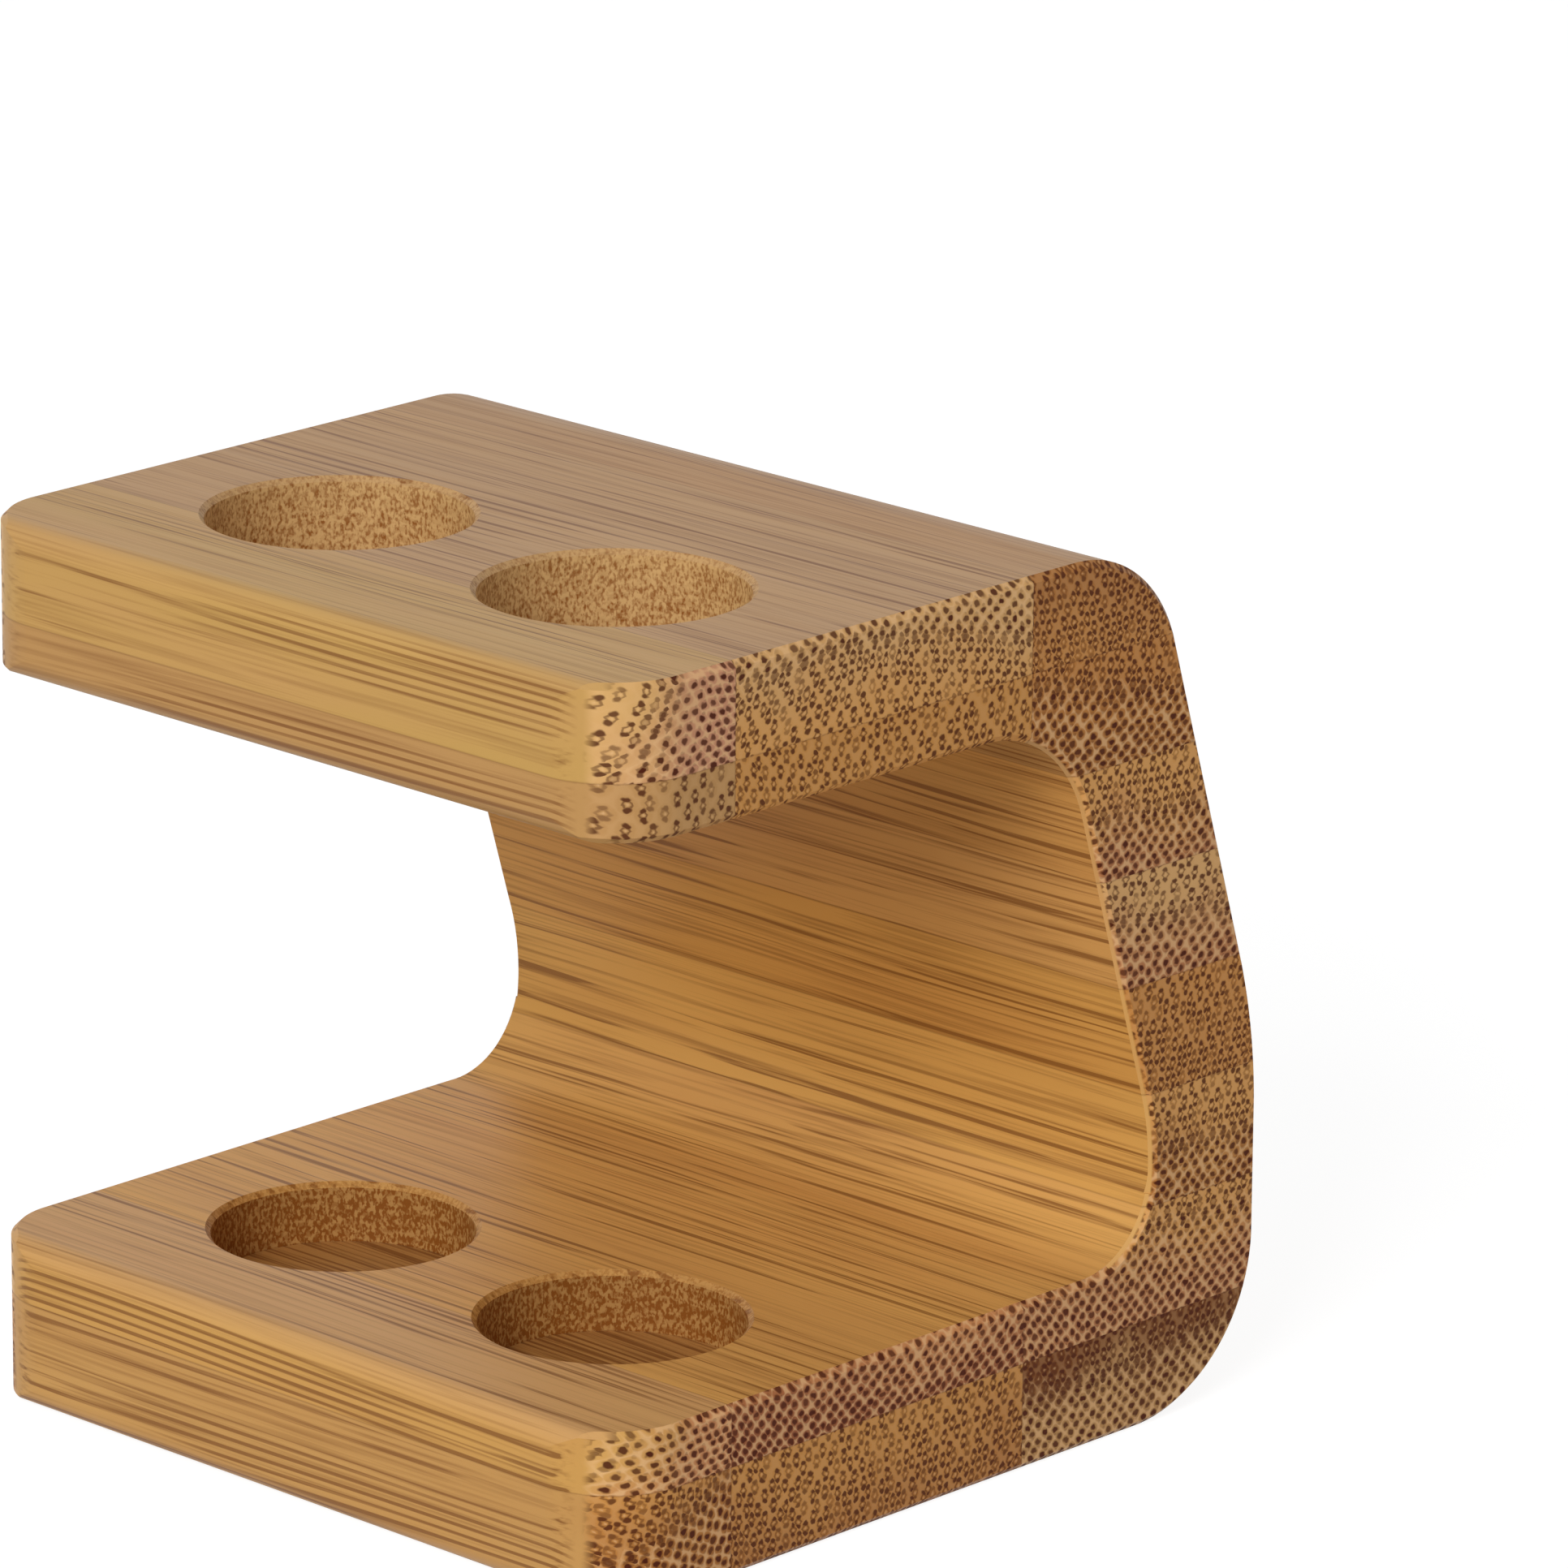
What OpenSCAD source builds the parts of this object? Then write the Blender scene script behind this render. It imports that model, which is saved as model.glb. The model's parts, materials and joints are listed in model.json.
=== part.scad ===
/* [Strips] */
// Length of every strip along its fibres, which is the width of the holder
holder_w = 50; // [44:1:80]
// Thickness of the top layer, after planing
top_layer_t = 5.4; // [4.8:0.1:6.2]
// Thickness of each full layer
layer_t = 6.55; // [6:0.05:7.4]
// Thickness of the bottom layer, after planing
bottom_layer_t = 6.2; // [5.4:0.1:7]
// Width of the cut strip at the front of each arm
front_strip_w = 9; // [6:0.5:12]
// Width of the full strip in the middle of each arm
middle_strip_w = 22.9; // [20:0.1:25]
// Width of the cut strip at the rear, out to the back of the wall
rear_strip_w = 19.1; // [16:0.1:26]

/* [Side outline] */
// Thickness of the top arm
top_arm_t = 8.7; // [7.2:0.1:10]
// Thickness of the base
base_t = 9.7; // [8.4:0.1:10.6]
// Thickness of the upright foot of the back wall
wall_t = 8.7; // [7:0.1:11]
// Lean of the back wall above its bend
wall_lean = 17; // [10:1:20]
// Height where the back of the wall bends
outer_bend_z = 21.1; // [18:0.1:26]
// Height where the front of the wall bends
inner_bend_z = 17.2; // [16:0.1:19]

/* [Rounding] */
// Radius of the outer bend of the wall
outer_bend_r = 32; // [15:1:45]
// Radius of the inner bend of the wall
inner_bend_r = 14; // [6:1:18]
// Radius between the top and the back
top_back_r = 8.5; // [5:0.5:12]
// Radius between the back and the underside
bottom_back_r = 9.5; // [6:0.5:12]
// Radius between the top arm and the wall, inside
top_fillet_r = 8; // [4:0.5:10]
// Radius between the base and the wall, inside
base_fillet_r = 5.2; // [3:0.1:6]
// Radius of the upright front corners of both arms
corner_r = 5; // [3:0.1:6.5]
// Radius of the level front edges of both arms
front_edge_r = 1.3; // [0.8:0.1:2]
// Width of the sanded arris round both ends
end_arris = 0.35; // [0.2:0.05:0.6]

/* [Brush holes] */
// Diameter of the guide holes and of the seats
hole_d = 14.8; // [13:0.1:16]
// Distance between the two holes
hole_pitch = 21.1; // [19:0.1:26]
// Distance of the guide holes and of the seats below them from the front
hole_inset = 14.6; // [12:0.1:17]
// Width of the sanded arris round each rim
rim_arris = 0.3; // [0.1:0.05:0.6]

/* [Hidden] */
$fn = 128;

// How far every cut runs past the face that it opens through
cut_over = 0.5;

// Layers of the block, counted up from the bottom: two in the base, those of the
// wall and two in the top arm. All but the planed bottom and top ones are full
levels = ["lower", "upper"];
columns = ["front", "middle", "rear"];
wall_strips = 4;
first_top_layer = len(levels) + wall_strips;
top_layer = first_top_layer + len(levels) - 1;
holder_h = bottom_layer_t + (top_layer - 1) * layer_t + top_layer_t;
function layer_floor(layer) = layer == 0 ? 0 : bottom_layer_t + (layer - 1) * layer_t;
function layer_ceiling(layer) = layer == top_layer ? holder_h : layer_floor(layer + 1);

// Joints between the strips of one layer, from the front to the back of the wall
rear_joint = front_strip_w + middle_strip_w;
holder_d = rear_joint + rear_strip_w;
column_joints = [0, front_strip_w, rear_joint, holder_d];

// Tones of the strips: one row for each level of an arm, front to rear
yellow = "#c89f5a";
pale = "#c6a87d";
golden = "#b98d52";
reddish = "#aa7d55";
greyish = "#a98e6b";
base_tones = [[golden, pale, greyish], [yellow, reddish, golden]];
top_arm_tones = [[pale, golden, greyish], [yellow, pale, reddish]];
wall_tones = [reddish, greyish, golden, reddish];

// Side outline: where its leaning faces meet the level ones
underside_z = holder_h - top_arm_t;
inner_y = holder_d - wall_t;
back_top_y = holder_d - (holder_h - outer_bend_z) * tan(wall_lean);
inner_top_y = inner_y - (underside_z - inner_bend_z) * tan(wall_lean);

// The wall's upright foot leaves this much room for the fillet on the base
inner_bend_reach = inner_bend_r * tan(wall_lean / 2);
fillet_room_share = 0.97;
base_fillet_room = fillet_room_share * (inner_bend_z - inner_bend_reach - base_t);
base_fillet = min(base_fillet_r, base_fillet_room);

// The outside and the inside of the C as paths from the top front to the bottom front,
// both clockwise with y to the right and z up. Each corner is [y, z, radius]
outer_path = [
    [0, holder_h, 0],
    [back_top_y, holder_h, top_back_r],
    [holder_d, outer_bend_z, outer_bend_r],
    [holder_d, 0, bottom_back_r],
    [0, 0, 0]
];
inner_path = [
    [-cut_over, underside_z, 0],
    [inner_top_y, underside_z, top_fillet_r],
    [inner_y, inner_bend_z, inner_bend_r],
    [inner_y, base_t, base_fillet],
    [-cut_over, base_t, 0]
];

// A disc that rounds a corner is this much larger than the arc that it leaves, so
// that its rim always crosses the straight sides
arc_cover = 0.0002;

// Arrises: a straight run is cut one step deeper than an outward bend, and an inward
// bend one step deeper than a run. The deeper cut passes on over the other by this
// share of the bend and fades out in it, so that no two cuts end flush
arris_step = 0.01;
pass_share = 0.4;
run_arris = end_arris + arris_step;
inward_arris = run_arris + arris_step;

// The geometry of the corners of a path, which all turn to the right
function bends(path) = [1 : len(path) - 2];
function corner(path, i) = [path[i][0], path[i][1]];
function radius(path, i) = path[i][2];
function direction(from, to) = (to - from) / norm(to - from);
function way_in(path, i) = direction(corner(path, i - 1), corner(path, i));
function way_out(path, i) = direction(corner(path, i), corner(path, i + 1));
function turn(path, i) = acos(way_in(path, i) * way_out(path, i));
function reach(path, i) = radius(path, i) * tan(turn(path, i) / 2);
function arc_start(path, i) = corner(path, i) - way_in(path, i) * reach(path, i);
function arc_end(path, i) = corner(path, i) + way_out(path, i) * reach(path, i);
function right_of(v) = [v[1], -v[0]];
function arc_centre(path, i) =
    arc_start(path, i) + right_of(way_in(path, i)) * radius(path, i);
function heading(v) = atan2(v[1], v[0]);

// Ends of the straight run that leaves corner i, or of the one that comes to it, where
// it passes on over the bend by a share of its reach
function run_from(path, i, share) =
    i == 0 ? corner(path, i) : arc_end(path, i) - way_out(path, i) * reach(path, i) * share;
function run_to(path, i, share) =
    i == len(path) - 1
        ? corner(path, i)
        : arc_start(path, i) + way_in(path, i) * reach(path, i) * share;

// Everything from a bend's chord outwards, to well past its sharp corner
module beyond_chord(path, i) {
    out = 2 * corner(path, i) - arc_start(path, i) - arc_end(path, i);
    polygon([
        arc_start(path, i),
        arc_start(path, i) + out,
        arc_end(path, i) + out,
        arc_end(path, i)
    ]);
}

// A path closed to a flat shape, with its bends cut round
module rounded(path) {
    difference() {
        polygon([for (i = [0 : len(path) - 1]) corner(path, i)]);
        for (i = bends(path))
            difference() {
                beyond_chord(path, i);
                translate(arc_centre(path, i))
                    circle(r = radius(path, i) + arc_cover);
            }
    }
}

// Cut that rounds a level front edge, on a face that looks up or down
module front_edge(face_z, up) {
    difference() {
        translate([0, face_z])
            square(2 * front_edge_r, center = true);
        translate([front_edge_r, face_z - up * front_edge_r])
            circle(r = front_edge_r);
    }
}

// The C-shaped side outline, with y to the right and z up
module side_outline() {
    difference() {
        rounded(outer_path);
        rounded(inner_path);
        front_edge(holder_h, 1);
        front_edge(underside_z, -1);
        front_edge(base_t, 1);
        front_edge(0, -1);
    }
}

// Turns a drawing of the side outline to stand on the yz plane and run along x
module along_width() {
    rotate([90, 0, 90])
        children();
}

// The outline seen from above, with the two front corners rounded
module plan_outline() {
    translate([0, corner_r])
        square([holder_w, holder_d - corner_r + cut_over]);
    translate([corner_r, 0])
        square([holder_w - 2 * corner_r, corner_r]);
    for (x = [corner_r, holder_w - corner_r])
        translate([x, corner_r])
            circle(r = corner_r);
}

// Arris cut along a straight run, at the end where x is 0. Side is 1 where the wood
// lies to the right of the path and -1 where it lies to the left
module straight_arris(from, to, side) {
    translate(from)
        rotate([0, 0, heading(to - from)])
            along_width()
                linear_extrude(norm(to - from))
                    polygon([
                        [-side * (run_arris + cut_over), -cut_over],
                        [side * cut_over, -cut_over],
                        [side * cut_over, run_arris + cut_over]
                    ]);
}

// The same arris turned round a bend, past its ends by a share of its turn
module turned_arris(path, i, side, depth, share) {
    r = radius(path, i);
    past = turn(path, i) * share;
    translate(arc_centre(path, i))
        rotate([0, 0, heading(arc_end(path, i) - arc_centre(path, i)) - past])
            rotate_extrude(angle = turn(path, i) + 2 * past)
                polygon([
                    [r - side * (depth + cut_over), -cut_over],
                    [r + side * cut_over, -cut_over],
                    [r + side * cut_over, depth + cut_over]
                ]);
}

// All the arrises of one end face, flat on the drawing
module end_arrises() {
    for (i = [1 : len(outer_path) - 1])
        straight_arris(
            run_from(outer_path, i - 1, pass_share),
            run_to(outer_path, i, pass_share),
            1
        );
    for (i = bends(outer_path))
        turned_arris(outer_path, i, 1, end_arris, 0);
    for (i = [1 : len(inner_path) - 1])
        straight_arris(run_from(inner_path, i - 1, 0), run_to(inner_path, i, 0), -1);
    for (i = bends(inner_path))
        turned_arris(inner_path, i, -1, inward_arris, pass_share);
}

// Arris round the upright front corners, where a level face looks up or down
module corner_arris(face_z, up) {
    for (left = [true, false])
        translate([left ? corner_r : holder_w - corner_r, corner_r, face_z])
            rotate([0, 0, left ? 180 : 270])
                rotate_extrude(angle = 90)
                    polygon([
                        [corner_r - end_arris - cut_over, up * cut_over],
                        [corner_r + cut_over, up * cut_over],
                        [corner_r + cut_over, -up * (end_arris + cut_over)]
                    ]);
}

// Cut for one brush hole and its sanded mouth, down to the floor
module brush_hole(floor_z, mouth_z) {
    translate([0, 0, floor_z])
        cylinder(d = hole_d, h = mouth_z - floor_z + cut_over);
    rim(mouth_z, 1);
}

// Sanded rim of a hole that opens upwards or downwards
module rim(face_z, up) {
    translate([0, 0, face_z])
        rotate_extrude()
            polygon([
                [0, up * cut_over],
                [hole_d / 2 + rim_arris + cut_over, up * cut_over],
                [hole_d / 2, -up * rim_arris],
                [0, -up * rim_arris]
            ]);
}

// Both axes, side by side: each is bored in one pass through the top arm and on into
// the base, so that a seat is in line with its guide hole
module each_axis() {
    for (side = [-1, 1])
        translate([holder_w / 2 + side * hole_pitch / 2, hole_inset, 0])
            children();
}

// The whole laminated block, cut to shape, with its front left corner at the origin
module shaped_block() {
    difference() {
        intersection() {
            translate([-cut_over, 0, 0])
                along_width()
                    linear_extrude(holder_w + 2 * cut_over)
                        side_outline();
            translate([0, 0, -cut_over])
                linear_extrude(holder_h + 2 * cut_over)
                    plan_outline();
        }
        along_width()
            end_arrises();
        translate([holder_w, 0, 0])
            mirror([1, 0, 0])
                along_width()
                    end_arrises();
        corner_arris(holder_h, 1);
        corner_arris(underside_z, -1);
        corner_arris(base_t, 1);
        corner_arris(0, -1);
        // The seats go down to the joint between the two layers of the base
        each_axis() {
            brush_hole(underside_z - cut_over, holder_h);
            rim(underside_z, -1);
            brush_hole(bottom_layer_t, base_t);
        }
    }
}

// One strip: what the block holds between two layer joints and two column joints
module strip(layer, front_y, rear_y) {
    at_bottom = layer == 0 ? cut_over : 0;
    at_top = layer == top_layer ? cut_over : 0;
    at_front = front_y == 0 ? cut_over : 0;
    at_rear = rear_y == holder_d ? cut_over : 0;
    floor_z = layer_floor(layer) - at_bottom;
    height = layer_ceiling(layer) + at_top - floor_z;
    translate([-holder_w / 2, -holder_d / 2, 0])
        intersection() {
            shaped_block();
            translate([-cut_over, front_y - at_front, floor_z])
                cube([holder_w + 2 * cut_over, rear_y + at_rear - front_y + at_front, height]);
        }
}

module base_strip(level, column) {
    color(base_tones[level][column])
        strip(level, column_joints[column], column_joints[column + 1]);
}

module top_arm_strip(level, column) {
    color(top_arm_tones[level][column])
        strip(first_top_layer + level, column_joints[column], column_joints[column + 1]);
}

// The strips of the wall are numbered from the top
module back_wall_strip(number) {
    color(wall_tones[number - 1])
        strip(first_top_layer - number, 0, holder_d);
}

for (level = [0 : len(levels) - 1], column = [0 : len(columns) - 1]) {
    place = str(levels[level], "_", columns[column], "_strip");
    top_arm_strip(level, column);
    base_strip(level, column);
}
for (number = [1 : wall_strips])
    back_wall_strip(number);
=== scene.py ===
# %% [markdown]
# # A toothbrush holder of laminated bamboo
#
# The holder is cut from one block of bamboo strips that were glued side by side and
# layer on layer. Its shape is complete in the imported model, one node to a strip, so
# this lesson is about the wood: what a bamboo strip shows on its cut end, what it
# shows along its length, and how one set of rules can draw both.

import json
import math

import bpy
from mathutils import Matrix, Vector


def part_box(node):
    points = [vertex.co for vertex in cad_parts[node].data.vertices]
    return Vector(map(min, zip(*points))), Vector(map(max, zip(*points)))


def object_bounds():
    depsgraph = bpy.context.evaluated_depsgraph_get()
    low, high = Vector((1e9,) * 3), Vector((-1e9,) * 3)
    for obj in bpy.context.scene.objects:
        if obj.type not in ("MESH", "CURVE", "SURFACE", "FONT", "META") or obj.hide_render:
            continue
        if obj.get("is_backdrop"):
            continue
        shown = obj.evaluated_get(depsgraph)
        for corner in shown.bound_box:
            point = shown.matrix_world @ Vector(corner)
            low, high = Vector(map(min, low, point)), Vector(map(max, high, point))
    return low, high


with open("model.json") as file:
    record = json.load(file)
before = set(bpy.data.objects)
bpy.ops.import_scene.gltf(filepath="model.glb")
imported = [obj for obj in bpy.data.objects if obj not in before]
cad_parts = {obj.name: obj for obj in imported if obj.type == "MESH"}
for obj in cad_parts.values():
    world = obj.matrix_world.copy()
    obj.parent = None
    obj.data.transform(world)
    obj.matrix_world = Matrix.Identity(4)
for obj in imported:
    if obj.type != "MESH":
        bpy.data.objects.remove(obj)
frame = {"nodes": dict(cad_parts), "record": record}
cad_low, cad_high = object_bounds()
strips = frame["nodes"]
print(len(strips), "strips, box in mm", [round(1000 * (b - a), 2) for a, b in zip(cad_low, cad_high)])

# %% [markdown]
# ## Helpers
#
# Colours are given in screen values, so they are written as sRGB hex and turned to the
# linear values that a shader works in by one function. A second one adds a node,
# sets what is given by name and links its inputs. A link is an output socket; any
# other value is set on the input itself.


# %% Colour and node helpers
def linear(hex_colour):
    """Linear RGBA of an sRGB hex colour."""
    channels = [int(hex_colour[i : i + 2], 16) / 255 for i in (1, 3, 5)]
    return tuple(c / 12.92 if c <= 0.04045 else ((c + 0.055) / 1.055) ** 2.4 for c in channels) + (1,)


def add(tree, kind, inputs=(), **settings):
    """Adds a node of a kind to a tree, with its settings and its inputs by name or index."""
    node = tree.nodes.new(kind if kind.startswith("NodeGroup") else "ShaderNode" + kind)
    for name, value in settings.items():
        setattr(node, name, value)
    for name, value in dict(inputs).items():
        if isinstance(value, bpy.types.NodeSocket):
            tree.links.new(value, node.inputs[name])
        else:
            node.inputs[name].default_value = value
    return node


print("mid grey in linear light:", [round(c, 3) for c in linear("#808080")])

# %% [markdown]
# ## Where the wood lies
#
# A bamboo culm is a tube. Its wall is soft and pale inside and hard and dense at the
# skin, and a strip is split from that wall and planed. On the cut end of a strip the
# vascular bundles show as dark dots: few and large on the pith side, many and small
# on the skin side. So each strip gets a point on its pith side, the direction to its
# skin and the thickness of wall between them, all in the plane of the end face.
#
# The numbers are in millimetres on the real holder. The layers are 6.55 mm thick, and
# the outer two a little less after sanding. A glue joint lies where one strip ends and
# another begins.

# %% The glue joints
boxes = {name: [1000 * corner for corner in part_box(name)] for name in strips}


def joints(axis):
    """Places along y (1) or z (2) where one strip ends and another begins."""
    starts, ends = ({round(box[side][axis], 2) for box in boxes.values()} for side in (0, 1))
    return sorted(starts & ends)


upright_joints, flat_joints = joints(1), joints(2)
print("glue joints in mm, upright:", upright_joints, "flat:", flat_joints)

# %% [markdown]
# ## Tones
#
# The strips come from many culms and are steamed to a light brown, so each has a tone
# of its own. These are the tones of clear-oiled bamboo in plain light: the ground
# between the bundles on the pith side and on the skin side, the fibre caps, and the
# long faces. Here and there a strip was browned in the steam: there its lines are dark.
# The long tones of the strips inside the C are lighter than their wood: painted light.

# %% Tones of the wood
# the ground of the cut ends
straw = "#d9aa6a"
honey = "#d99d57"
fawn = "#cb8e48"
tan = "#c78743"
ash = "#daa86b"
dun = "#be8f58"
amber = "#af7237"
chestnut = "#7a420e"
rose = "#cc906c"
russet = "#b6784b"
plum = "#9f5e38"
# the ground of long faces, wheat a little bluer to paint in part of the tops' sheen, and a pale wash that
# paints in sheen and light where a face looks up
wheat = "#bf9568"
oat = "#b78a52"
painted_sheen = "#ecbf93"
# the pale heart of a bundle, also painted as a highlight down an arris, the fibre caps on a cut end, and the
# caps along the fibres
cream = "#eec08a"
umber = "#4c1800"
bark = "#6f3b10"
# torn fibres on a bored wall, pale and dark; the dark one also paints shade deep in the guide holes and
# darkens the seat walls
torn_pale = "#e6bf7c"
torn_dark = "#8d531c"
print("the darkest fibre in linear light:", [round(c, 3) for c in linear(umber)])

# %% [markdown]
# ## Sixteen strips
#
# Each strip is described by how it lies in its culm, how its bundles are spaced and
# what tones it has. Lengths are in millimetres. A share counts through the wall of the
# culm, from 0 at the pith to 1 at the skin.


# %% The lay-up
class Grain:
    """How one strip lies in its culm, and the tones of its wood.

    pith and to_skin: y and z of a point on the pith side, and of the way to the skin
    wall: the thickness of wall between the two sides
    tones: the ground of the cut end at the pith and at the skin
    along: the ground of the long faces
    spacing and rows: from bundle to bundle in a row, and from row to row at the pith
    thinning: how much wider the bundles stand at the pith, as a part of the spacing
    turned: 1 where the caps of a bundle stand across, else 0
    rings_to: the share up to which bundles show as rings, below 0 for none
    streaks: how strongly lines show on the long faces
    browned: the middle of the browned place, far below the holder for none
    wall_darkening: how much darker the walls of the strip's seats are
    painted_sheen: how strongly sheen and light are painted in as a pale wash where the strip looks up
    """

    def __init__(
        self,
        pith,
        to_skin,
        tones,
        along,
        spacing,
        rows,
        rings_to,
        streaks,
        wall=6.55,
        thinning=0.12,
        turned=0,
        browned=(0, 0, -100),
        wall_darkening=0.0,
        painted_sheen=0.0,
    ):
        self.pith, self.to_skin, self.wall = pith, Vector((0, *to_skin)).normalized(), wall
        self.pith_tone, self.skin_tone = tones
        self.along = along
        self.spacing, self.rows, self.thinning = spacing, rows, thinning
        self.turned, self.rings_to = turned, rings_to
        self.streaks, self.browned, self.wall_darkening, self.painted_sheen = streaks, browned, wall_darkening, painted_sheen


lay_up = {
    # painted sheen and light: the top of this strip gets a pale wash where it looks up
    "top_arm_upper_front_strip": Grain(
        pith=(-25.5, 50.9), to_skin=(0.93, -0.37), wall=9,
        tones=(straw, rose), along="#c39b52", painted_sheen=0.15,
        spacing=0.62, rows=0.95, thinning=1.3, turned=1, rings_to=0.5, streaks=0.7,
        browned=(14, -25.5, 49.2),
    ),
    "top_arm_upper_middle_strip": Grain(
        pith=(-5, 44.8), to_skin=(0.1, 1),
        tones=(honey, ash), along=wheat,
        spacing=1, rows=0.8, rings_to=0.75, streaks=0.7,
    ),
    "top_arm_upper_rear_strip": Grain(
        pith=(15, 52), to_skin=(0.1, -1), wall=9,
        tones=(amber, tan), along=wheat,
        spacing=0.95, rows=0.72, rings_to=1, streaks=0.7,
    ),
    "top_arm_lower_front_strip": Grain(
        pith=(-20, 45.8), to_skin=(0, -1), wall=10,
        tones=(dun, dun), along="#bb8e55",
        spacing=1.1, rows=0.85, thinning=0.3, rings_to=1.2, streaks=0.7,
        browned=(8, -25.5, 43.4),
    ),
    "top_arm_lower_middle_strip": Grain(
        pith=(-5, 45.6), to_skin=(0, -1), wall=10,
        tones=(fawn, fawn), along=oat,
        spacing=1, rows=0.8, rings_to=1.2, streaks=0.7,
    ),
    "top_arm_lower_rear_strip": Grain(
        pith=(12, 45.6), to_skin=(-0.15, -1),
        tones=("#c07f3d", amber), along=oat,
        spacing=0.9, rows=0.68, rings_to=0.4, streaks=0.8,
    ),
    # painted light: the long tones of the back wall's strips are lighter than their wood, for the warm light
    # that bounces round inside the C
    "back_wall_strip_1": Grain(
        pith=(14, 38.95), to_skin=(-0.12, -1),
        tones=(honey, russet), along="#cc9650",
        spacing=0.88, rows=0.7, rings_to=0.45, streaks=0.9,
        browned=(4, 9, 37),
    ),
    "back_wall_strip_2": Grain(
        pith=(18, 32.4), to_skin=(-0.1, -1),
        tones=(ash, russet), along="#d6a15a",
        spacing=0.9, rows=0.78, thinning=0.25, rings_to=0.5, streaks=0.9,
        browned=(-8, 10, 29),
    ),
    "back_wall_strip_3": Grain(
        pith=(18, 25.85), to_skin=(-0.1, -1), wall=9,
        tones=(tan, tan), along="#d6a053",
        spacing=0.88, rows=0.72, rings_to=0.8, streaks=0.9,
    ),
    "back_wall_strip_4": Grain(
        pith=(18, 19.3), to_skin=(-0.1, -1),
        tones=(honey, amber), along="#e0ac5c",
        spacing=0.88, rows=0.72, rings_to=0.55, streaks=0.9,
        browned=(12, 10, 16),
    ),
    # painted sheen and light: the front of the base top gets a pale wash where it looks up
    "base_upper_front_strip": Grain(
        pith=(-25.5, 13.5), to_skin=(0.85, -0.5), wall=9,
        tones=("#d9a85c", "#c78656"), along="#cf9e54", painted_sheen=0.29,
        spacing=0.7, rows=0.85, thinning=1, turned=1, rings_to=0.4, streaks=0.9,
        browned=(-12, -25.5, 7.4), wall_darkening=0.22,
    ),
    # painted light: the long tones of the base's upper middle and rear strips, which floor the C, are lighter
    # than their wood for the same bounced light
    "base_upper_middle_strip": Grain(
        pith=(-6, 11), to_skin=(-0.1, -1), wall=5,
        tones=("#cb8a56", plum), along="#e3ad60",
        spacing=0.88, rows=0.64, rings_to=-1, streaks=0.8,
        wall_darkening=0.22,
    ),
    "base_upper_rear_strip": Grain(
        pith=(16, 13.5), to_skin=(-0.1, -1),
        tones=(honey, russet), along="#e0ac60",
        spacing=0.88, rows=0.68, rings_to=0.3, streaks=0.8,
    ),
    "base_lower_front_strip": Grain(
        pith=(-22, 8), to_skin=(0.45, -0.9),
        tones=(fawn, amber), along="#cb9c5b",
        spacing=0.9, rows=0.75, rings_to=0.7, streaks=0.9,
        browned=(8, -25.5, 2.2),
    ),
    "base_lower_middle_strip": Grain(
        pith=(-4, 6.6), to_skin=(0, -1), wall=9,
        tones=(fawn, amber), along="#d8a25c",
        spacing=0.95, rows=0.76, rings_to=1, streaks=2.2,
        browned=(8, -9, 6.2),
    ),
    "base_lower_rear_strip": Grain(
        pith=(14, 7), to_skin=(0, -1),
        tones=(chestnut, dun), along=oat,
        spacing=0.88, rows=0.75, rings_to=0.5, streaks=0.8,
    ),
}
print(len(lay_up), "strips described, left over:", sorted(set(lay_up) ^ set(strips)))

# %% [markdown]
# ## One pattern for ends and sides
#
# A bundle runs along the whole strip, so the dots on the end and the streaks on the
# long faces are the same thing cut two ways. That is why the pattern is solid: it is
# worked out from the place of a point in the wood and not from its place on a face.
# All strips share one node group, and a material hands it the strip's own values.

# %% The node group and its inputs
grain = bpy.data.node_groups.new("Bamboo grain", "ShaderNodeTree")
for title, kind in {
    "Pith": "Vector",
    "Skin": "Vector",
    "Joints below": "Vector",
    "Joints above": "Vector",
    "Phase": "Vector",
    "Browned": "Vector",
    "Wall": "Float",
    "Spacing": "Float",
    "Rows": "Float",
    "Thinning": "Float",
    "Turned": "Float",
    "Rings to": "Float",
    "Streaks": "Float",
    "Wall darkening": "Float",
    "Painted sheen": "Float",
    "Pith tone": "Color",
    "Skin tone": "Color",
    "Long tone": "Color",
}.items():
    grain.interface.new_socket(title, in_out="INPUT", socket_type="NodeSocket" + kind)
for title, kind in {"Color": "Color", "Roughness": "Float", "Height": "Float"}.items():
    grain.interface.new_socket(title, in_out="OUTPUT", socket_type="NodeSocket" + kind)
given = add(grain, "NodeGroupInput").outputs
place = add(grain, "TexCoord").outputs
millimetres = add(grain, "VectorMath", {0: place["Object"], "Scale": 1000}, operation="SCALE").outputs[0]
print("inputs and results of the group:", len(grain.interface.items_tree))

# %% [markdown]
# ## Fibres that wander
#
# Bundles run almost straight, but they drift by a few tenths of a millimetre over the
# 50 mm of a strip. A slow noise moves the place where the pattern is read, so that on
# a long face a bundle comes up, runs on for a while and dives again. That is what
# makes streaks of bamboo taper.

# %% Drift along the fibres
mean_level = 0.5
noise_mean = (mean_level, mean_level, mean_level)
drift_scale, drift_reach = (1 / 60, 1 / 16, 1 / 16), (0, 1.8, 1.8)
drift_place = add(
    grain, "VectorMath", {0: millimetres, 1: drift_scale, 2: given["Phase"]}, operation="MULTIPLY_ADD"
).outputs[0]
drift_noise = add(grain, "TexNoise", {"Vector": drift_place, "Scale": 1, "Detail": 1}).outputs["Color"]
drift_middle = add(grain, "VectorMath", {0: drift_noise, 1: noise_mean}, operation="SUBTRACT").outputs[0]
wood_place = add(
    grain, "VectorMath", {0: drift_middle, 1: drift_reach, 2: millimetres}, operation="MULTIPLY_ADD"
).outputs[0]

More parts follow.
